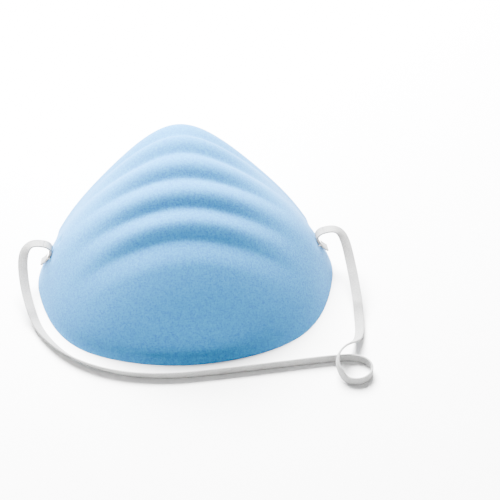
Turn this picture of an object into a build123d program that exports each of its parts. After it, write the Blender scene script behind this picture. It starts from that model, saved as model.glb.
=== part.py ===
from build123d import *
import math
import os

# Disposable dust mask: a cup moulded from blue felt that lies open side down,
# with an elastic head band stapled to both cheeks and an aluminium nose strip.
# Millimetres. The rim lies on z = 0, X runs from cheek to cheek, -Y is the chin
# edge, +Y the nose edge, and +Z points up out of the cup.

# ---------------------------------------------------------------- dimensions

# Height of the cup over its middle plane, as (y, z). The first and last points
# carry the curve on below the rim, where the cup is cut off flat.
MIDDLE_LINE = [
    (-66, -15), (-60, 0), (-52, 17), (-40, 33), (-25, 45), (-6, 53.5), (10, 56), (21, 54.5),
    (30, 50), (38, 42), (45, 30.5), (50.5, 17), (55, 8), (60, 0), (66, -9),
]

# The cup falls off sideways like a hyperbola: broad at the chin, a tent with a
# rounded ridge at the nose. Each section has its y, the radius of its ridge, its
# side slope, and the extra fall that rounds the cheeks over at CHEEK_X.
SECTIONS = [(-15.0, 60.0, 1.5, 14.0), (20.0, 28.0, 1.5, 16.0), (45.0, 12.0, 1.6, 20.0)]
CHEEK_X = 64.0
CHEEK_POWER = 7

# Five creases run from cheek to cheek with four rounded ribs between them.
CREASE_COUNT = 5
FIRST_CREASE_ARC = 52.0   # along the middle line, from the chin edge
RIB_PITCH = 13.5
CREASE_DEPTH = 2.2
CREASE_ROUNDING = 1.2     # half width of the rounded bottom of a crease
PANEL_SHOULDER = 11.0     # how far the plain panels take to reach full height
CREASE_FULL_X = 12.0      # a crease is full depth this far from the middle
CREASE_END_X = 50.0       # and has faded out here

OUTER_SHELL_THICKNESS = 1.0
FILTER_THICKNESS = 0.5
LINER_THICKNESS = 0.4
PLY_GAP = 0.05
INNER_PLY_RIM = 0.8       # the inner plies stop this far above the rim

# Nose strip, and the glue line under it.
STRIP_LENGTH = 82.0       # across the nose, measured straight
STRIP_HEIGHT = 4.6        # its width of 5 mm, as it stands on the sloping wall
STRIP_THICKNESS = 0.5
STRIP_MIDDLE_Z = 13.0
GLUE_THICKNESS = 0.2
GLUE_MARGIN = 0.7         # the glue stops this far inside the strip's edge

# Elastic band, its two stapled ends, and the staples.
BAND_WIDTH = 4.0
BAND_THICKNESS = 0.8
TAIL_LENGTH = 6.5         # loose tail, from the staple down towards the rim
LIFT_LENGTH = 0.8         # flat run past the staple, before the band curls up
CURL_RADIUS = 3.2
CURL_ANGLE = 110.0
STAPLE_Y = -5.5
STAPLE_Z = 12.5
STAPLE_WIRE = 0.5
STAPLE_CROWN = 6.0
STAPLE_HOOK = 2.2         # length of each leg's clinched end
STAPLE_BEND_RADIUS = 0.45
CLINCH_GAP = 0.15         # the clinched ends clear the liner by this much
FIRST_RUN = 3.6           # the band's straight run out of each curled end

# Corners of the free band's route between those two runs, as (x, y, z). It curls
# over at the left staple, drops to the floor outside the cheek, crosses in front
# of the chin, makes a small loop at the right and climbs to the right staple.
BAND_ROUTE = [
    (-65.3, -5.6, 17.7), (-67.3, -8.7, 15.0), (-67.4, -14.8, 10.6), (-66.0, -23.2, 6.2),
    (-63.2, -33.0, 3.2), (-58.0, -43.0, 2.0), (-50.0, -52.5, 2.0), (-39.0, -60.0, 2.0),
    (-25.0, -65.0, 2.0), (-8.0, -67.0, 2.0), (10.0, -66.0, 2.0), (28.0, -64.5, 2.0),
    (45.0, -63.0, 2.0), (57.0, -62.0, 2.0), (66.5, -62.2, 2.0), (71.5, -65.5, 2.0),
    (72.0, -71.0, 2.0), (67.5, -75.0, 2.0), (61.5, -74.5, 2.6), (57.8, -70.0, 5.0),
    (58.2, -64.5, 6.8), (61.8, -59.5, 6.6), (66.8, -55.5, 4.0), (69.3, -49.0, 2.6),
    (70.0, -40.0, 3.0), (69.9, -31.0, 5.0), (69.4, -22.8, 7.8), (68.5, -15.0, 11.2),
    (67.3, -8.8, 15.0), (65.3, -5.6, 17.7),
]

# Sampling of the cup's curved faces.
ROW_STEP = 2.0
COLUMN_STEP = 4.0
CLEAR = 100.0             # larger than the cup, for cutting blocks


# --------------------------------------------------------------- cup surface

def spline_bends(points):
    """Second derivatives at the points of the natural cubic curve through them."""
    count = len(points)
    shares = [0.0] * count
    bends = [0.0] * count
    for i in range(1, count - 1):
        (y0, z0), (y1, z1), (y2, z2) = points[i - 1:i + 2]
        share = (y1 - y0) / (y2 - y0)
        pivot = share * shares[i - 1] + 2
        shares[i] = (share - 1) / pivot
        turn = (z2 - z1) / (y2 - y1) - (z1 - z0) / (y1 - y0)
        bends[i] = (6 * turn / (y2 - y0) - share * bends[i - 1]) / pivot
    for i in reversed(range(count - 1)):
        bends[i] += shares[i] * bends[i + 1]
    return bends


MIDDLE_BENDS = spline_bends(MIDDLE_LINE)


def middle_height(y):
    """Height of the cup's middle line at y, before the creases."""
    i = 0
    while i < len(MIDDLE_LINE) - 2 and y > MIDDLE_LINE[i + 1][0]:
        i += 1
    (y0, z0), (y1, z1) = MIDDLE_LINE[i:i + 2]
    span = y1 - y0
    a = (y1 - y) / span
    b = (y - y0) / span
    bend = (a ** 3 - a) * MIDDLE_BENDS[i] + (b ** 3 - b) * MIDDLE_BENDS[i + 1]
    return a * z0 + b * z1 + bend * span ** 2 / 6


def smooth_step(value, start, end):
    """0 at start, 1 at end, with a smooth change between them."""
    t = min(max((value - start) / (end - start), 0.0), 1.0)
    return t * t * (3 - 2 * t)


def section_at(y):
    """Ridge radius, side slope and cheek drop of the cross-section at y."""
    for before, after in zip(SECTIONS, SECTIONS[1:]):
        if y < after[0] or after is SECTIONS[-1]:
            share = smooth_step(y, before[0], after[0])
            return [a + (b - a) * share for a, b in zip(before[1:], after[1:])]


def plain_height(x, y):
    """Height of the cup without its creases; negative outside the rim."""
    ridge, slope, drop = section_at(y)
    fall = slope * (math.hypot(x, ridge) - ridge)
    cheek = drop * (abs(x) / CHEEK_X) ** CHEEK_POWER
    return middle_height(y) - fall - cheek


def middle_arcs(step=0.25):
    """(y, distance along the middle line from the chin edge) for closely spaced y."""
    y, z = MIDDLE_LINE[1]
    arcs = [(y, 0.0)]
    while y < MIDDLE_LINE[-1][0]:
        next_z = middle_height(y + step)
        arcs.append((y + step, arcs[-1][1] + math.hypot(step, next_z - z)))
        y += step
        z = next_z
    return arcs


MIDDLE_ARCS = middle_arcs()


def arc_at(y):
    """Distance along the middle line from the chin edge to y."""
    step = MIDDLE_ARCS[1][0] - MIDDLE_ARCS[0][0]
    place = min(max((y - MIDDLE_ARCS[0][0]) / step, 0.0), len(MIDDLE_ARCS) - 1.001)
    i = int(place)
    return MIDDLE_ARCS[i][1] + (place - i) * (MIDDLE_ARCS[i + 1][1] - MIDDLE_ARCS[i][1])


def crease_depth(x, y):
    """How far the creases press the cup's surface in at (x, y)."""
    along = (arc_at(y) - FIRST_CREASE_ARC) / RIB_PITCH
    nearest = min(max(round(along), 0), CREASE_COUNT - 1)
    distance = abs(along - nearest) * RIB_PITCH
    outside = along < 0 or along > CREASE_COUNT - 1
    reach = PANEL_SHOULDER if outside else RIB_PITCH / 2
    rounded = math.hypot(distance, CREASE_ROUNDING) - CREASE_ROUNDING
    full = math.hypot(reach, CREASE_ROUNDING) - CREASE_ROUNDING
    depth = CREASE_DEPTH * (1 - math.sin(math.pi / 2 * min(rounded / full, 1.0)))
    return depth * (1 - smooth_step(abs(x), CREASE_FULL_X, CREASE_END_X))


def outward_normal(x, y, step=0.2):
    """Unit vector out of the plain cup at (x, y)."""
    slope_x = (plain_height(x + step, y) - plain_height(x - step, y)) / (2 * step)
    slope_y = (plain_height(x, y + step) - plain_height(x, y - step)) / (2 * step)
    return Vector(-slope_x, -slope_y, 1).normalized()


def cup_point(x, y, outset):
    """Point of the creased cup, moved outwards by outset."""
    base = Vector(x, y, plain_height(x, y))
    return base + outward_normal(x, y) * (outset - crease_depth(x, y))


def grid_rows():
    """Values of y for the rows of the surface grid, even along the middle line."""
    below_rim = MIDDLE_LINE[0][0]
    rows = [below_rim, (below_rim + MIDDLE_LINE[1][0]) / 2]
    next_arc = 0.0
    for y, arc in MIDDLE_ARCS:
        if arc >= next_arc:
            rows.append(y)
            next_arc += ROW_STEP
    return rows


def dome(outset, floor_z=0.0):
    """Solid under the cup's surface moved outwards by outset, above floor_z."""
    half_count = round((CHEEK_X + 8) / COLUMN_STEP)
    columns = [COLUMN_STEP * i for i in range(-half_count, half_count + 1)]
    points = [[cup_point(x, y, outset) for x in columns] for y in grid_rows()]
    skin = Face.make_surface_from_array_of_points(points, min_deg=3, max_deg=3)
    body = Solid.extrude(skin, Vector(0, 0, -2 * CLEAR))
    above = Pos(0, 0, floor_z) * Box(
        2 * CLEAR, 2 * CLEAR, CLEAR, align=(Align.CENTER, Align.CENTER, Align.MIN)
    )
    return body & above


# ------------------------------------------------------------- the sub-parts

def make_plies():
    """Outer felt shell, filter layer and inner liner, each a cup inside the last."""
    plies = {}
    inset = 0.0
    for name, thickness, floor_z in (
        ("outer_shell", OUTER_SHELL_THICKNESS, 0.0),
        ("filter_layer", FILTER_THICKNESS, INNER_PLY_RIM),
        ("inner_liner", LINER_THICKNESS, INNER_PLY_RIM),
    ):
        plies[name] = dome(-inset, floor_z) - dome(-inset - thickness, floor_z - 1)
        inset += thickness + PLY_GAP
    return plies


def strip_block(margin):
    """Bar with round ends along Y that cuts the strip's outline, less a margin."""
    outline = SlotOverall(STRIP_LENGTH - 2 * margin, STRIP_HEIGHT - 2 * margin)
    on_wall = Plane(origin=(0, 0, STRIP_MIDDLE_Z), x_dir=(1, 0, 0), z_dir=(0, 1, 0))
    return extrude(on_wall * outline, CLEAR)


def make_nose_strip():
    """Aluminium strip bent round the nose, and the thin glue line under it."""
    strip_floor = 1.0
    cup = dome(0.0, strip_floor)
    glue_top = dome(GLUE_THICKNESS, strip_floor)
    strip_top = dome(GLUE_THICKNESS + STRIP_THICKNESS, strip_floor)
    return {
        "nose_strip": (strip_top & strip_block(0)) - glue_top,
        "nose_strip_glue": (glue_top & strip_block(GLUE_MARGIN)) - cup,
    }


def staple_frame():
    """Frame on the right cheek: origin under the staple, X up the wall, Y out of it."""
    low, high = 0.0, CHEEK_X
    while high - low > 0.001:
        middle = (low + high) / 2
        if plain_height(middle, STAPLE_Y) > STAPLE_Z:
            low = middle
        else:
            high = middle
    out = outward_normal(low, STAPLE_Y)
    along_rim = Vector(0, 0, 1).cross(out).normalized()
    up_wall = out.cross(along_rim)
    return Plane(origin=(low, STAPLE_Y, STAPLE_Z), x_dir=up_wall, z_dir=along_rim)


def make_staple(frame):
    """Wire staple over the band: its legs pierce the plies and are clinched inside."""
    plies = OUTER_SHELL_THICKNESS + FILTER_THICKNESS + LINER_THICKNESS + 2 * PLY_GAP
    top = BAND_THICKNESS + STAPLE_WIRE / 2
    bottom = -plies - CLINCH_GAP - STAPLE_WIRE / 2
    side = STAPLE_CROWN / 2
    tip = side - STAPLE_HOOK
    corners = [(bottom, -tip), (bottom, -side), (top, -side), (top, side), (bottom, side), (bottom, tip)]
    points = [frame.from_local_coords((0, out, along)) for out, along in corners]
    path = FilletPolyline(*points, radius=STAPLE_BEND_RADIUS)
    return sweep(Plane(path @ 0, z_dir=path % 0) * Circle(STAPLE_WIRE / 2), path=path)


def band_end_path():
    """Middle of a stapled band end, in the staple frame: tail, staple, curl."""
    middle = BAND_THICKNESS / 2
    tail = Line((-TAIL_LENGTH, middle), (LIFT_LENGTH, middle))
    curl = JernArc(tail @ 1, (1, 0), CURL_RADIUS, CURL_ANGLE)
    return tail + curl


def make_band_end(frame):
    """Flat end of the band under its staple, up to where it has curled off the cup."""
    side_view = trace(band_end_path(), line_width=BAND_THICKNESS)
    return frame * extrude(side_view, BAND_WIDTH / 2, both=True)


def band_exit(frame):
    """Where the free band leaves the right band end, and the end of its first run."""
    path = band_end_path()
    start = path @ 1
    corner = start + (path % 1) * FIRST_RUN
    return frame.from_local_coords(start), frame.from_local_coords(corner)


def mirrored(point):
    """The same point on the other cheek."""
    return Vector(-point.X, point.Y, point.Z)


def make_band(frame):
    """The free band as a round tube of the band's width, runs joined by arcs."""
    start, corner = band_exit(frame)
    route = [mirrored(start), mirrored(corner), *map(Vector, BAND_ROUTE), corner, start]
    runs = [(b - a) for a, b in zip(route, route[1:])]
    radii = []
    for before, after in zip(runs, runs[1:]):
        half_turn = math.radians(before.get_angle(after)) / 2
        radii.append(0.45 * min(before.length, after.length) / math.tan(half_turn))
    path = FilletPolyline(*route, radius=radii)
    print("band exit", start, "first corner", corner)
    print("runs", [round(run.length, 1) for run in runs])
    print("radii", [round(radius, 1) for radius in radii])
    tube = sweep(Plane(path @ 0, z_dir=path % 0) * Circle(BAND_WIDTH / 2), path=path)
    section = math.pi * BAND_WIDTH ** 2 / 4
    print("length", path.length, "volume over section", tube.volume / section)
    return tube


def main():
    frame = staple_frame()
    staple = make_staple(frame)
    band_end = make_band_end(frame)
    parts = make_plies()
    parts.update(make_nose_strip())
    parts["staple_right"] = staple
    parts["staple_left"] = staple.mirror(Plane.YZ)
    parts["band_end_right"] = band_end
    parts["band_end_left"] = band_end.mirror(Plane.YZ)
    parts["elastic_band"] = make_band(frame)
    for ply in ("outer_shell", "filter_layer", "inner_liner"):
        parts[ply] = parts[ply] - parts["staple_right"] - parts["staple_left"]
    os.makedirs("parts", exist_ok=True)
    for name, solid in parts.items():
        export_step(solid, f"parts/{name}.step")


if __name__ == "__main__":
    main()
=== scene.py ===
import math

import bmesh
import bpy
import numpy as np
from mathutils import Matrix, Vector


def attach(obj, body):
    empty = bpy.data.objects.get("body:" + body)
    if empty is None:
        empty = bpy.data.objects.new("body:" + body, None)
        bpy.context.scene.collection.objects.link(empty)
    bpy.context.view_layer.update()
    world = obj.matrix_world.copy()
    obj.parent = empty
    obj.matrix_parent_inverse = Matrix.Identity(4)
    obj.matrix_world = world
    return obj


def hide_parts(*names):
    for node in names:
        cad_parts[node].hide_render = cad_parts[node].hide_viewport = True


# Disposable dust mask, lying open side down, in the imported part's frame: X runs from
# cheek to cheek, -Y is the chin edge, +Y the nose edge and +Z out of the cup. Shapes are
# worked out in mm. The band's route, the camera and the lights are in metres.

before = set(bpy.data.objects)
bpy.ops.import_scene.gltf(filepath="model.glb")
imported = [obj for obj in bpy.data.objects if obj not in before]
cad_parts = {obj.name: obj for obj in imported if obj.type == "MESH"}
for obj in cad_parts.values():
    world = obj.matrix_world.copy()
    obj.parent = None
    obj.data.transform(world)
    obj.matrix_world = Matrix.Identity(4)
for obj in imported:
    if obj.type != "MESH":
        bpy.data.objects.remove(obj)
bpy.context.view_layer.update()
MM = 0.001

# ------------------------------------------------------------- driving sizes (mm)

# The cup's surface, as the part's own source has it.
MIDDLE_LINE = [
    (-66, -15), (-60, 0), (-52, 17), (-40, 33), (-25, 45), (-6, 53.5), (10, 56), (21, 54.5),
    (30, 50), (38, 42), (45, 30.5), (50.5, 17), (55, 8), (60, 0), (66, -9),
]
SECTIONS = [(-15.0, 60.0, 1.5, 14.0), (20.0, 28.0, 1.5, 16.0), (45.0, 12.0, 1.6, 20.0)]
CHEEK_X = 64.0
CHEEK_POWER = 7
CREASE_COUNT = 5
FIRST_CREASE_ARC = 52.0
RIB_PITCH = 13.5
CREASE_DEPTH = 2.2
CREASE_ROUNDING = 1.2
PANEL_SHOULDER = 11.0
CREASE_FULL_X = 12.0
CREASE_END_X = 50.0

# Where the felt is pressed in: a dimple over the left staple and a dent under each
# staple, as (place, radius, depth).
DIMPLES = [
    ((-51.6, -4.0, 18.5), 1.7, 0.9),
    ((-55.0, -5.5, 12.5), 3.2, 0.3),
    ((55.0, -5.5, 12.5), 3.2, 0.3),
]

# The plies from the outside in: CAD node, material slot, depth of the outer face under
# the cup's surface, thickness, lowest height, and the mesh's rings and spokes.
PLIES = [
    ("outer_shell", "blue_felt", 0.0, 1.0, 0.02, 140, 480),
    ("filter_layer", "filter_fibre", 1.05, 0.5, 0.8, 70, 240),
    ("inner_liner", "white_liner", 1.6, 0.4, 0.8, 90, 300),
]

# Numbers of samples and halvings, enough for a smooth surface.
ARC_SAMPLES = 1200
SPOKE_SAMPLES = 300
HALVINGS = 40
RIM_BEYOND = 66.0          # past the rim in every direction

# The band, as the part's own source has it.
BAND_WIDTH = 4.0
BAND_THICKNESS = 0.8
TAIL_LENGTH = 6.5
LIFT_LENGTH = 0.8
CURL_RADIUS = 3.2
CURL_ANGLE = 110.0
STAPLE_Y = -5.5
STAPLE_Z = 12.5
FIRST_RUN = 3.6

# The free band's route from the left staple to the right one, in metres.
BAND_ROUTE = [
    (-0.0653, -0.0056, 0.0177), (-0.0673, -0.0087, 0.0150), (-0.0674, -0.0148, 0.0106),
    (-0.0660, -0.0232, 0.0062), (-0.0632, -0.0330, 0.0032), (-0.0580, -0.0430, 0.0020),
    (-0.0500, -0.0525, 0.0020), (-0.0390, -0.0600, 0.0020), (-0.0250, -0.0650, 0.0020),
    (-0.0080, -0.0670, 0.0020), (0.0100, -0.0660, 0.0020), (0.0280, -0.0645, 0.0020),
    (0.0450, -0.0630, 0.0020), (0.0570, -0.0620, 0.0020), (0.0665, -0.0622, 0.0020),
    (0.0715, -0.0655, 0.0020), (0.0720, -0.0710, 0.0020), (0.0675, -0.0750, 0.0020),
    (0.0615, -0.0745, 0.0026), (0.0578, -0.0700, 0.0050), (0.0582, -0.0645, 0.0068),
    (0.0618, -0.0595, 0.0066), (0.0668, -0.0555, 0.0040), (0.0693, -0.0490, 0.0026),
    (0.0700, -0.0400, 0.0030), (0.0699, -0.0310, 0.0050), (0.0694, -0.0228, 0.0078),
    (0.0685, -0.0150, 0.0112), (0.0673, -0.0088, 0.0150), (0.0653, -0.0056, 0.0177),
]
# How far the band's width leans up from level at each of those points, in degrees:
# flat where it curls, on edge where it lies on the floor and in the loop.
BAND_LEANS = [
    0, 5, 10, 15, 25, 40, 55, 65, 72, 78, 82, 85, 88, 90, 90,
    90, 90, 90, 90, 85, 75, 60, 40, 25, 15, 12, 10, 8, 4, 0,
]
BAND_CORDS = 6             # rubber cords that show as ridges along the band
GROOVE_DEPTH = 0.12
GROOVE_STEPS = 28          # points across the band's face
BAND_EDGE = 0.12           # rounding of the band's two edges
TAIL_LIFT = 1.0            # the loose tail's tip stands this far off the felt
FLOOR_GAP = 0.02           # the band rests this far above the floor
RESTS_BELOW = 2.2          # the band is let down onto the floor where the route is lower,
LIFTS_ABOVE = 4.5          # and keeps its route's height where it is higher than this

# ------------------------------------------------------------- colours and light

FELT_COLOUR = (0.003, 0.155, 0.38)
FELT_PIT_SHADE = (0.42, 0.70, 0.84)      # painted shade: factors for the felt's uneven tone in the pits between the fibres painted highlight: factors for it on the fibres on top
FELT_TOP_HIGHLIGHT = (2.2, 1.30, 1.12)      # and for the fibres on top
FELT_SHEEN = 0.02
FILTER_COLOUR = (0.86, 0.86, 0.84)
LINER_COLOUR = (0.84, 0.85, 0.85)
BAND_COLOUR = (0.30, 0.30, 0.295)
FLOOR_COLOUR = (0.92, 0.92, 0.92)
FLOOR_REACH = 3.0
WORLD_STRENGTH = 0.6

# A strong soft light from behind and above, and a weak one low in front.
LIGHT_SIZE = 0.5
KEY_PLACE = (-0.10, 0.46, 0.56)
KEY_AIM = (0, 0, 0)
KEY_POWER = 115
FILL_PLACE = (0.0, -0.7, 0.12)
FILL_AIM = (0, 0, 0.02)
FILL_POWER = 1.5

# The camera looks down at the chin side, angles in degrees.
CAMERA_DISTANCE = 0.65
CAMERA_AZIMUTH = -4.0
CAMERA_ELEVATION = 45.0
FIELD_WIDTH = 0.208        # width of the view at the aim point
AIM = (0.027, -0.012, 0.0155)


# ------------------------------------------------------------------ cup surface

def natural_cubic(points):
    """Function that evaluates the natural cubic curve through (y, z) points."""
    ys, zs = np.array(points, float).T
    spans = np.diff(ys)
    slopes = np.diff(zs) / spans
    inner = len(ys) - 2
    system = np.zeros((inner, inner))
    for i in range(inner):
        system[i, i] = 2 * (spans[i] + spans[i + 1])
        if i > 0:
            system[i, i - 1] = spans[i]
        if i < inner - 1:
            system[i, i + 1] = spans[i + 1]
    bends = np.zeros(len(ys))
    bends[1:-1] = np.linalg.solve(system, 6 * np.diff(slopes))

    def value(y):
        i = np.clip(np.searchsorted(ys, y) - 1, 0, len(ys) - 2)
        span = spans[i]
        a = (ys[i + 1] - y) / span
        b = (y - ys[i]) / span
        bend = (a ** 3 - a) * bends[i] + (b ** 3 - b) * bends[i + 1]
        return a * zs[i] + b * zs[i + 1] + bend * span ** 2 / 6

    return value


middle_height = natural_cubic(MIDDLE_LINE)
ARC_Y = np.linspace(MIDDLE_LINE[1][0], MIDDLE_LINE[-2][0], ARC_SAMPLES)
ARC_STEPS = np.hypot(np.diff(ARC_Y), np.diff(middle_height(ARC_Y)))
ARC_LENGTHS = np.concatenate(([0.0], np.cumsum(ARC_STEPS)))


def smooth_step(value, start, end):
    """0 before start, 1 after end, and a smooth rise between them."""
    t = np.clip((value - start) / (end - start), 0.0, 1.0)
    return t * t * (3 - 2 * t)


def section_at(y):
    """Ridge radius, side slope and cheek drop of the cross-section at y."""
    stations = [section[0] for section in SECTIONS]
    place = np.interp(y, stations, range(len(stations)))
    start = np.floor(np.minimum(place, len(stations) - 1.001))
    eased = start + smooth_step(place - start, 0.0, 1.0)
    columns = zip(*(section[1:] for section in SECTIONS))
    return [np.interp(eased, range(len(stations)), column) for column in columns]


def plain_height(x, y):
    """Height of the cup without its creases; negative outside the rim."""
    ridge, slope, drop = section_at(y)
    fall = slope * (np.hypot(x, ridge) - ridge)
    cheek = drop * (np.abs(x) / CHEEK_X) ** CHEEK_POWER
    return middle_height(y) - fall - cheek


def crease_depth(x, y):
    """How far the creases press the cup's surface in at (x, y)."""
    along = (np.interp(y, ARC_Y, ARC_LENGTHS) - FIRST_CREASE_ARC) / RIB_PITCH
    nearest = np.clip(np.round(along), 0, CREASE_COUNT - 1)
    distance = np.abs(along - nearest) * RIB_PITCH
    outside = (along < 0) | (along > CREASE_COUNT - 1)
    reach = np.where(outside, PANEL_SHOULDER, RIB_PITCH / 2)
    rounded = np.hypot(distance, CREASE_ROUNDING) - CREASE_ROUNDING
    full = np.hypot(reach, CREASE_ROUNDING) - CREASE_ROUNDING
    depth = CREASE_DEPTH * (1 - np.sin(math.pi / 2 * np.minimum(rounded / full, 1.0)))
    return depth * (1 - smooth_step(np.abs(x), CREASE_FULL_X, CREASE_END_X))


def outward_normals(x, y, step=0.2):
    """Unit normals of the cup without its creases, pointing out of it."""
    slope_x = (plain_height(x + step, y) - plain_height(x - step, y)) / (2 * step)
    slope_y = (plain_height(x, y + step) - plain_height(x, y - step)) / (2 * step)
    normals = np.stack([-slope_x, -slope_y, np.ones_like(slope_x)], axis=-1)
    return normals / np.linalg.norm(normals, axis=-1, keepdims=True)


def cup_points(x, y, outset):
    """Points of the creased cup, moved outwards by outset, all in mm."""
    base = np.stack([x, y, plain_height(x, y)], axis=-1)
    depth = crease_depth(x, y)
    for place, radius, press in DIMPLES:
        away = np.linalg.norm(base - place, axis=-1) / radius
        depth = depth + press * np.exp(-away ** 2)
    return base + outward_normals(x, y) * (outset - depth)[..., None]


def rim_distance(angles):
    """Distance in plan from the middle to where the cup falls to the floor."""
    low = np.zeros_like(angles)
    high = np.full_like(angles, RIM_BEYOND)
    for _ in range(HALVINGS):
        middle = (low + high) / 2
        above = plain_height(middle * np.cos(angles), middle * np.sin(angles)) > 0
        low = np.where(above, middle, low)
        high = np.where(above, high, middle)
    return low


def cup_grid(rings, spokes):
    """Plan positions x, y [ring, spoke], even along the cup's surface."""
    angles = np.linspace(0, 2 * math.pi, spokes, endpoint=False)
    reach = rim_distance(angles)
    shares = np.linspace(0, 1, SPOKE_SAMPLES)[:, None]
    x = shares * reach * np.cos(angles)
    y = shares * reach * np.sin(angles)
    z = plain_height(x, y)
    lengths = np.hypot(np.diff(z, axis=0), np.diff(shares, axis=0) * reach)
    lengths = np.vstack([np.zeros(spokes), np.cumsum(lengths, axis=0)])
    wanted = np.linspace(0, 1, rings + 1)[1:]
    radii = np.stack([
        np.interp(wanted * lengths[-1, i], lengths[:, i], shares[:, 0]) * reach[i]
        for i in range(spokes)
    ], axis=1)
    return radii * np.cos(angles), radii * np.sin(angles)


# ------------------------------------------------------------------ mesh helpers

def grid_mesh(name, grid, centre=None, caps=False):
    """Mesh object from points [row, column] in mm, each row closed on itself. centre
    closes the first row with a fan, and caps closes the first and last rows."""
    rows, columns = grid.shape[:2]
    points = [tuple(p) for p in (grid.reshape(-1, 3) * MM)]
    faces = []
    for row in range(rows - 1):
        for column in range(columns):
            beside = (column + 1) % columns
            faces.append((
                row * columns + column, (row + 1) * columns + column,
                (row + 1) * columns + beside, row * columns + beside,
            ))
    if centre is not None:
        points.append(tuple(np.asarray(centre) * MM))
        middle = len(points) - 1
        faces += [(middle, column, (column + 1) % columns) for column in range(columns)]
    if caps:
        faces.append(tuple(range(columns)))
        faces.append(tuple((rows - 1) * columns + i for i in reversed(range(columns))))
    mesh = bpy.data.meshes.new(name)
    mesh.from_pydata(points, [], faces)
    mesh.validate()
    build = bmesh.new()
    build.from_mesh(mesh)
    bmesh.ops.recalc_face_normals(build, faces=build.faces)
    build.to_mesh(mesh)
    build.free()
    mesh.shade_smooth()
    piece = bpy.data.objects.new(name, mesh)
    bpy.context.collection.objects.link(piece)
    return piece


def add_piece(piece, node, material):
    """Puts the piece in the place of a CAD node, with its material."""
    piece.data.materials.append(material)
    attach(piece, "root")
    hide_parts(node)


# ---------------------------------------------------------------------- the plies

def make_ply(name, top, thickness, floor_z, rings, spokes):
    """One cup-shaped ply, from top under the cup's surface down by its thickness."""
    x, y = cup_grid(rings, spokes)
    outer = cup_points(x, y, -top)
    inner = cup_points(x[::-1], y[::-1], -top - thickness)
    edge = cup_points(x[-1:], y[-1:], -top - thickness / 2)
    grid = np.concatenate([outer, edge, inner])
    grid[..., 2] = np.maximum(grid[..., 2], floor_z)
    ply = grid_mesh(name, grid, cup_points(np.zeros(1), np.zeros(1), -top)[0])
    fill_middle(ply)
    return ply


def fill_middle(ply):
    """Closes the hole that the last ring leaves at the middle of the inner face."""
    build = bmesh.new()
    build.from_mesh(ply.data)
    open_edges = [edge for edge in build.edges if edge.is_boundary]
    if open_edges:
        bmesh.ops.holes_fill(build, edges=open_edges, sides=0)
    bmesh.ops.recalc_face_normals(build, faces=build.faces)
    build.to_mesh(ply.data)
    build.free()
    ply.data.shade_smooth()


# ----------------------------------------------------------------------- the band

def staple_frame():
    """Place under the right staple, and unit vectors up the wall, out, along the rim."""
    low, high = 0.0, CHEEK_X
    for _ in range(HALVINGS):
        middle = (low + high) / 2
        if plain_height(middle, STAPLE_Y) > STAPLE_Z:
            low = middle
        else:
            high = middle
    out = outward_normals(np.array(low), np.array(STAPLE_Y))
    along_rim = np.cross((0, 0, 1), out)
    along_rim /= np.linalg.norm(along_rim)
    return np.array([low, STAPLE_Y, STAPLE_Z]), np.cross(out, along_rim), out, along_rim


def band_outline():
    """Closed section of the band as (across, through) in mm, with lengthwise grooves."""
    turn = np.linspace(0, math.pi, GROOVE_STEPS + 1)
    across = np.cos(turn) * (BAND_WIDTH / 2 - BAND_EDGE)
    share = (across / (BAND_WIDTH / 2) + 1) / 2
    groove = GROOVE_DEPTH * (0.5 - 0.5 * np.cos(2 * math.pi * BAND_CORDS * share))
    half = BAND_THICKNESS / 2 - GROOVE_DEPTH + groove
    upper = np.stack([across, half], axis=-1)
    lower = np.stack([across[::-1], -half[::-1]], axis=-1)
    left_edge = np.array([[-BAND_WIDTH / 2, 0.0]])
    return np.concatenate([upper, left_edge, lower, -left_edge])


def sweep_band(name, points, widths):
    """Mesh of the flat band along points, its width lying along widths, in mm."""
    tangents = np.gradient(points, axis=0)
    tangents /= np.linalg.norm(tangents, axis=1, keepdims=True)
    widths = widths - tangents * np.sum(widths * tangents, axis=1, keepdims=True)
    widths /= np.linalg.norm(widths, axis=1, keepdims=True)
    faces = np.cross(tangents, widths)
    outline = band_outline()
    grid = (
        points[:, None] + widths[:, None] * outline[None, :, :1]
        + faces[:, None] * outline[None, :, 1:]
    )
    return grid_mesh(name, grid, caps=True)


def band_end_line():
    """Middle of the right band end: its tail, the staple and the curl, in mm."""
    start, up_wall, out, along_rim = staple_frame()
    middle = BAND_THICKNESS / 2
    tail = [
        (u, middle + TAIL_LIFT * max(0.0, (-u - 1) / (TAIL_LENGTH - 1)) ** 2)
        for u in np.linspace(-TAIL_LENGTH, LIFT_LENGTH, 20)
    ]
    curl = [
        (LIFT_LENGTH + CURL_RADIUS * math.sin(a), middle + CURL_RADIUS * (1 - math.cos(a)))
        for a in np.radians(np.linspace(0, CURL_ANGLE, 24))[1:]
    ]
    points = [start + up_wall * u + out * n for u, n in tail + curl]
    return np.array(points), np.tile(along_rim, (len(points), 1))


def band_line(route):
    """Smooth points along the route, and how far along its corners each one is."""
    curve = bpy.data.curves.new("band_route", "CURVE")
    curve.dimensions = "3D"
    curve.resolution_u = 10
    spline = curve.splines.new("NURBS")
    spline.points.add(len(route) - 1)
    for corner, point in zip(route, spline.points):
        point.co = (*corner, 1.0)
    spline.order_u = 3
    spline.use_endpoint_u = True
    holder = bpy.data.objects.new("band_route", curve)
    line = bpy.data.meshes.new_from_object(holder)
    points = np.array([vertex.co[:] for vertex in line.vertices])
    bpy.data.objects.remove(holder)
    bpy.data.meshes.remove(line)
    corners = len(route)
    places = np.concatenate(([0.0], np.arange(corners - 2) + 0.5, [corners - 2.0]))
    along = np.linspace(0, corners - 2.0, len(points))
    return points, np.interp(along, places, np.arange(corners))


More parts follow.
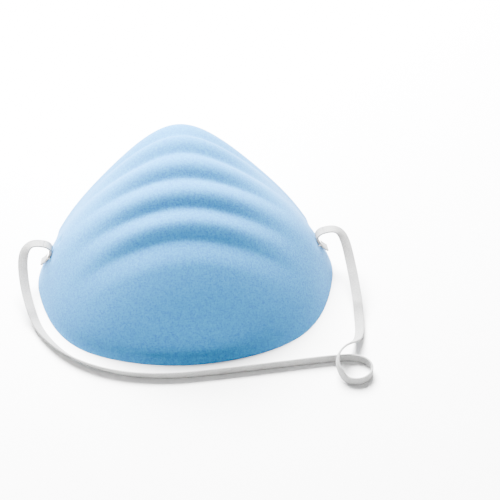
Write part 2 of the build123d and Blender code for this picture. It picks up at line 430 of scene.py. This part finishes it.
def whole_route():
    """The band's route in metres with its exit and first corner at both staples."""
    ends, _ = band_end_line()
    exit_right = ends[-1]
    heading = ends[-1] - ends[-2]
    corner_right = exit_right + heading / np.linalg.norm(heading) * FIRST_RUN
    flip = np.array([-1, 1, 1])
    first = [tuple(exit_right * flip * MM), tuple(corner_right * flip * MM)]
    last = [tuple(corner_right * MM), tuple(exit_right * MM)]
    return first + BAND_ROUTE + last


def band_widths(points, lean):
    """Directions of the band's width along points, leant up from level by lean."""
    tangents = np.gradient(points, axis=0)
    tangents /= np.linalg.norm(tangents, axis=1, keepdims=True)
    level = np.cross(tangents, (0, 0, 1))
    level /= np.linalg.norm(level, axis=1, keepdims=True)
    upright = np.cross(level, tangents)
    return level * np.cos(lean)[:, None] + upright * np.sin(lean)[:, None]


def make_band(material):
    """The free band, one flat elastic following the route from staple to staple."""
    route = whole_route()
    points, along = band_line(route)
    points = points / MM
    leans = [0.0, 0.0] + BAND_LEANS + [0.0, 0.0]
    lean = np.radians(np.interp(along, np.arange(len(leans)), leans))
    widths = band_widths(points, lean)
    reach = BAND_WIDTH / 2 * np.abs(widths[:, 2]) + BAND_THICKNESS / 2 * np.cos(lean)
    on_floor = 1 - smooth_step(points[:, 2], RESTS_BELOW, LIFTS_ABOVE)
    points[:, 2] -= np.maximum(points[:, 2] - reach - FLOOR_GAP, 0) * on_floor
    band = sweep_band("band_strand", points, widths)
    add_piece(band, "elastic_band", material)


def make_band_ends(material):
    """The band's two stapled ends: the left one mirrors the right one."""
    points, widths = band_end_line()
    for side, flip in (("right", 1), ("left", -1)):
        mirror = np.array([flip, 1, 1])
        end = sweep_band(f"band_tail_{side}", points * mirror, widths * mirror)
        add_piece(end, f"band_end_{side}", material)


# ---------------------------------------------------------------------- materials

class Nodes:
    """Short way to build a material's node tree."""

    def __init__(self, name, colour, roughness, metallic=0.0):
        self.material = bpy.data.materials.new(name)
        self.material.use_nodes = True
        self.tree = self.material.node_tree
        self.shader = self.tree.nodes["Principled BSDF"]
        self.shader.inputs["Base Color"].default_value = (*colour, 1)
        self.shader.inputs["Roughness"].default_value = roughness
        self.shader.inputs["Metallic"].default_value = metallic
        self.coordinates = self.add("ShaderNodeTexCoord").outputs["Object"]

    def add(self, kind, **values):
        node = self.tree.nodes.new(kind)
        for name, value in values.items():
            if name in node.inputs:
                node.inputs[name].default_value = value
            else:
                setattr(node, name, value)
        return node

    def link(self, source, target):
        self.tree.links.new(source, target)

    def stretched(self, scale, turn=(0, 0, 0)):
        """Object coordinates scaled by a factor for each axis."""
        mapping = self.add("ShaderNodeMapping", Scale=scale, Rotation=turn)
        self.link(self.coordinates, mapping.inputs["Vector"])
        return mapping.outputs["Vector"]

    def noise(self, vector, scale, detail=4.0, roughness=0.5):
        node = self.add("ShaderNodeTexNoise", Scale=scale, Detail=detail, Roughness=roughness)
        self.link(vector, node.inputs["Vector"])
        return node.outputs["Fac"]

    def ramp(self, value, *stops):
        """Colour ramp from (position, colour) stops."""
        node = self.add("ShaderNodeValToRGB")
        elements = node.color_ramp.elements
        while len(elements) < len(stops):
            elements.new(0.5)
        for element, (position, colour) in zip(elements, stops):
            element.position = position
            element.color = (*colour, 1)
        self.link(value, node.inputs["Fac"])
        return node.outputs["Color"]

    def mix(self, factor, first, second, blend="MIX"):
        node = self.add("ShaderNodeMix", data_type="RGBA", blend_type=blend)
        for source, target in ((factor, 0), (first, 6), (second, 7)):
            if isinstance(source, (int, float)):
                node.inputs[target].default_value = source
            elif isinstance(source, tuple):
                node.inputs[target].default_value = (*source, 1)
            else:
                self.link(source, node.inputs[target])
        return node.outputs[2]

    def colour(self, socket):
        self.link(socket, self.shader.inputs["Base Color"])

    def bump(self, *layers):
        """Bump from (height, strength, distance in mm) layers, one on the next."""
        normal = None
        for height, strength, distance in layers:
            node = self.add("ShaderNodeBump", Strength=strength, Distance=distance * MM)
            self.link(height, node.inputs["Height"])
            if normal is not None:
                self.link(normal, node.inputs["Normal"])
            normal = node.outputs["Normal"]
        self.link(normal, self.shader.inputs["Normal"])


def felt_material():
    """Pressed blue felt: short brushed fibres, a fine mottle that is painted shade in the
    pits and painted highlight on the fibre tops, and a soft sheen.
    """
    felt = Nodes("blue_felt", FELT_COLOUR, 0.95)
    felt.shader.inputs["Sheen Weight"].default_value = FELT_SHEEN
    felt.shader.inputs["Sheen Roughness"].default_value = 0.6
    mottle = felt.noise(felt.coordinates, 1300, 5, 0.65)
    fibres = felt.noise(felt.stretched((1.0, 0.28, 0.28), (0.2, 0, 0.35)), 2000, 4, 0.7)
    crossing = felt.noise(felt.stretched((0.3, 1.0, 1.0), (0, 0.3, 0.2)), 2000, 4, 0.7)
    patches = felt.noise(felt.coordinates, 55, 2, 0.5)
    # The colour follows the same noise as the bump: painted shade where the fibres sink and
    # painted highlight where they stand up, over the felt's uneven tone.
    fine = felt.mix(0.5, mottle, felt.mix(0.5, fibres, crossing))
    dark = tuple(c * s for c, s in zip(FELT_COLOUR, FELT_PIT_SHADE))
    light = tuple(c * s for c, s in zip(FELT_COLOUR, FELT_TOP_HIGHLIGHT))
    colour = felt.ramp(fine, (0.42, dark), (0.50, FELT_COLOUR), (0.58, light))
    pale = felt.ramp(patches, (0.35, (0.93, 0.97, 0.98)), (0.65, (1.0, 1.0, 1.0)))
    felt.colour(felt.mix(1.0, colour, pale, "MULTIPLY"))
    felt.bump((fibres, 0.5, 0.16), (crossing, 0.35, 0.12), (mottle, 0.45, 0.14))
    return felt.material


def fibre_material(name, colour, scale, depth):
    """White non-woven: crossed fibres, slightly uneven, with a faint grey mottle."""
    cloth = Nodes(name, colour, 0.9)
    cloth.shader.inputs["Sheen Weight"].default_value = 0.25
    fibres = cloth.noise(cloth.stretched((1.0, 0.2, 0.3), (0, 0, 0.6)), scale, 4, 0.7)
    crossing = cloth.noise(cloth.stretched((0.2, 1.0, 0.3), (0, 0, -0.4)), scale, 4, 0.7)
    both = cloth.mix(0.5, fibres, crossing)
    darker = tuple(c * 0.86 for c in colour)
    cloth.colour(cloth.ramp(both, (0.35, darker), (0.6, colour)))
    cloth.bump((fibres, 0.5, depth), (crossing, 0.5, depth))
    return cloth.material


def elastic_material():
    """Off-white braided elastic: fine stitches, slightly soiled and uneven."""
    elastic = Nodes("band_elastic", BAND_COLOUR, 0.75)
    elastic.shader.inputs["Sheen Weight"].default_value = 0.1
    threads = elastic.noise(elastic.coordinates, 2600, 3, 0.6)
    shade = elastic.noise(elastic.coordinates, 120, 3, 0.5)
    soiled = tuple(c * 0.82 for c in BAND_COLOUR)
    clean = elastic.ramp(shade, (0.35, soiled), (0.65, BAND_COLOUR))
    dark = elastic.ramp(threads, (0.35, (0.70, 0.70, 0.71)), (0.6, (1.0, 1.0, 1.0)))
    elastic.colour(elastic.mix(1.0, clean, dark, "MULTIPLY"))
    elastic.bump((threads, 0.6, 0.12))
    return elastic.material


def strip_material():
    """Dull aluminium with a fine pressed grain."""
    metal = Nodes("strip_metal", (0.50, 0.50, 0.51), 0.42, 1.0)
    grain = metal.add("ShaderNodeTexVoronoi", Scale=1500.0)
    metal.link(metal.coordinates, grain.inputs["Vector"])
    wear = metal.noise(metal.coordinates, 160, 4, 0.6)
    metal.colour(metal.ramp(wear, (0.35, (0.36, 0.36, 0.37)), (0.65, (0.60, 0.60, 0.61))))
    rough = metal.add("ShaderNodeMapRange", **{"To Min": 0.32, "To Max": 0.55})
    metal.link(wear, rough.inputs["Value"])
    metal.link(rough.outputs["Result"], metal.shader.inputs["Roughness"])
    metal.bump((grain.outputs["Distance"], 0.55, 0.10))
    return metal.material


def wire_material():
    """Drawn steel wire of the staples, a little tarnished."""
    wire = Nodes("staple_wire", (0.55, 0.54, 0.53), 0.3, 1.0)
    tarnish = wire.noise(wire.coordinates, 700, 4, 0.6)
    wire.colour(wire.ramp(tarnish, (0.35, (0.33, 0.31, 0.29)), (0.6, (0.62, 0.61, 0.60))))
    wire.bump((tarnish, 0.2, 0.03))
    return wire.material


def glue_material():
    """Hot-melt glue, milky and slightly uneven."""
    glue = Nodes("glue", (0.80, 0.77, 0.66), 0.35)
    blobs = glue.noise(glue.coordinates, 500, 3, 0.5)
    glue.colour(glue.ramp(blobs, (0.3, (0.72, 0.69, 0.58)), (0.7, (0.86, 0.84, 0.76))))
    glue.bump((blobs, 0.4, 0.08))
    return glue.material


def dress_cad_nodes():
    """Gives the CAD nodes that stay, strip, glue and staples, their materials."""
    wire = wire_material()
    for node, material in (
        ("nose_strip", strip_material()), ("nose_strip_glue", glue_material()),
        ("staple_left", wire), ("staple_right", wire),
    ):
        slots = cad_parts[node].data.materials
        slots.clear()
        slots.append(material)


# ------------------------------------------------------------------- camera, light

def make_camera():
    data = bpy.data.cameras.new("camera")
    camera = bpy.data.objects.new("camera", data)
    bpy.context.collection.objects.link(camera)
    azimuth = math.radians(CAMERA_AZIMUTH)
    elevation = math.radians(CAMERA_ELEVATION)
    back = Vector((
        math.sin(azimuth) * math.cos(elevation),
        -math.cos(azimuth) * math.cos(elevation),
        math.sin(elevation),
    ))
    camera.location = Vector(AIM) + back * CAMERA_DISTANCE
    camera.rotation_euler = back.to_track_quat("Z", "Y").to_euler()
    data.angle = 2 * math.atan(FIELD_WIDTH / 2 / CAMERA_DISTANCE)
    bpy.context.scene.camera = camera


def make_light(name, location, aim, power):
    data = bpy.data.lights.new(name, "AREA")
    data.size = LIGHT_SIZE
    data.energy = power
    light = bpy.data.objects.new(name, data)
    bpy.context.collection.objects.link(light)
    light.location = location
    back = Vector(location) - Vector(aim)
    light.rotation_euler = back.to_track_quat("Z", "Y").to_euler()


def make_stage():
    """White floor, white surroundings and the two lights."""
    corners = [
        (x * FLOOR_REACH, y * FLOOR_REACH, 0) for x, y in ((-1, -1), (1, -1), (1, 1), (-1, 1))
    ]
    mesh = bpy.data.meshes.new("floor")
    mesh.from_pydata(corners, [], [(0, 1, 2, 3)])
    floor = bpy.data.objects.new("floor", mesh)
    bpy.context.collection.objects.link(floor)
    paper = Nodes("floor", FLOOR_COLOUR, 0.9)
    mesh.materials.append(paper.material)
    world = bpy.data.worlds.new("studio")
    world.use_nodes = True
    background = world.node_tree.nodes["Background"].inputs
    background["Color"].default_value = (1, 1, 1, 1)
    background["Strength"].default_value = WORLD_STRENGTH
    bpy.context.scene.world = world
    make_light("key", KEY_PLACE, KEY_AIM, KEY_POWER)
    make_light("fill", FILL_PLACE, FILL_AIM, FILL_POWER)


def make_plies():
    """The felt shell, the filter layer and the liner, one inside the other."""
    materials = {
        "blue_felt": felt_material(),
        "filter_fibre": fibre_material("filter_fibre", FILTER_COLOUR, 1100, 0.2),
        "white_liner": fibre_material("white_liner", LINER_COLOUR, 1900, 0.08),
    }
    for node, slot, top, thickness, floor_z, rings, spokes in PLIES:
        ply = make_ply(f"ply_{node}", top, thickness, floor_z, rings, spokes)
        add_piece(ply, node, materials[slot])


make_camera()
make_stage()
make_plies()
elastic = elastic_material()
make_band(elastic)
make_band_ends(elastic)
dress_cad_nodes()
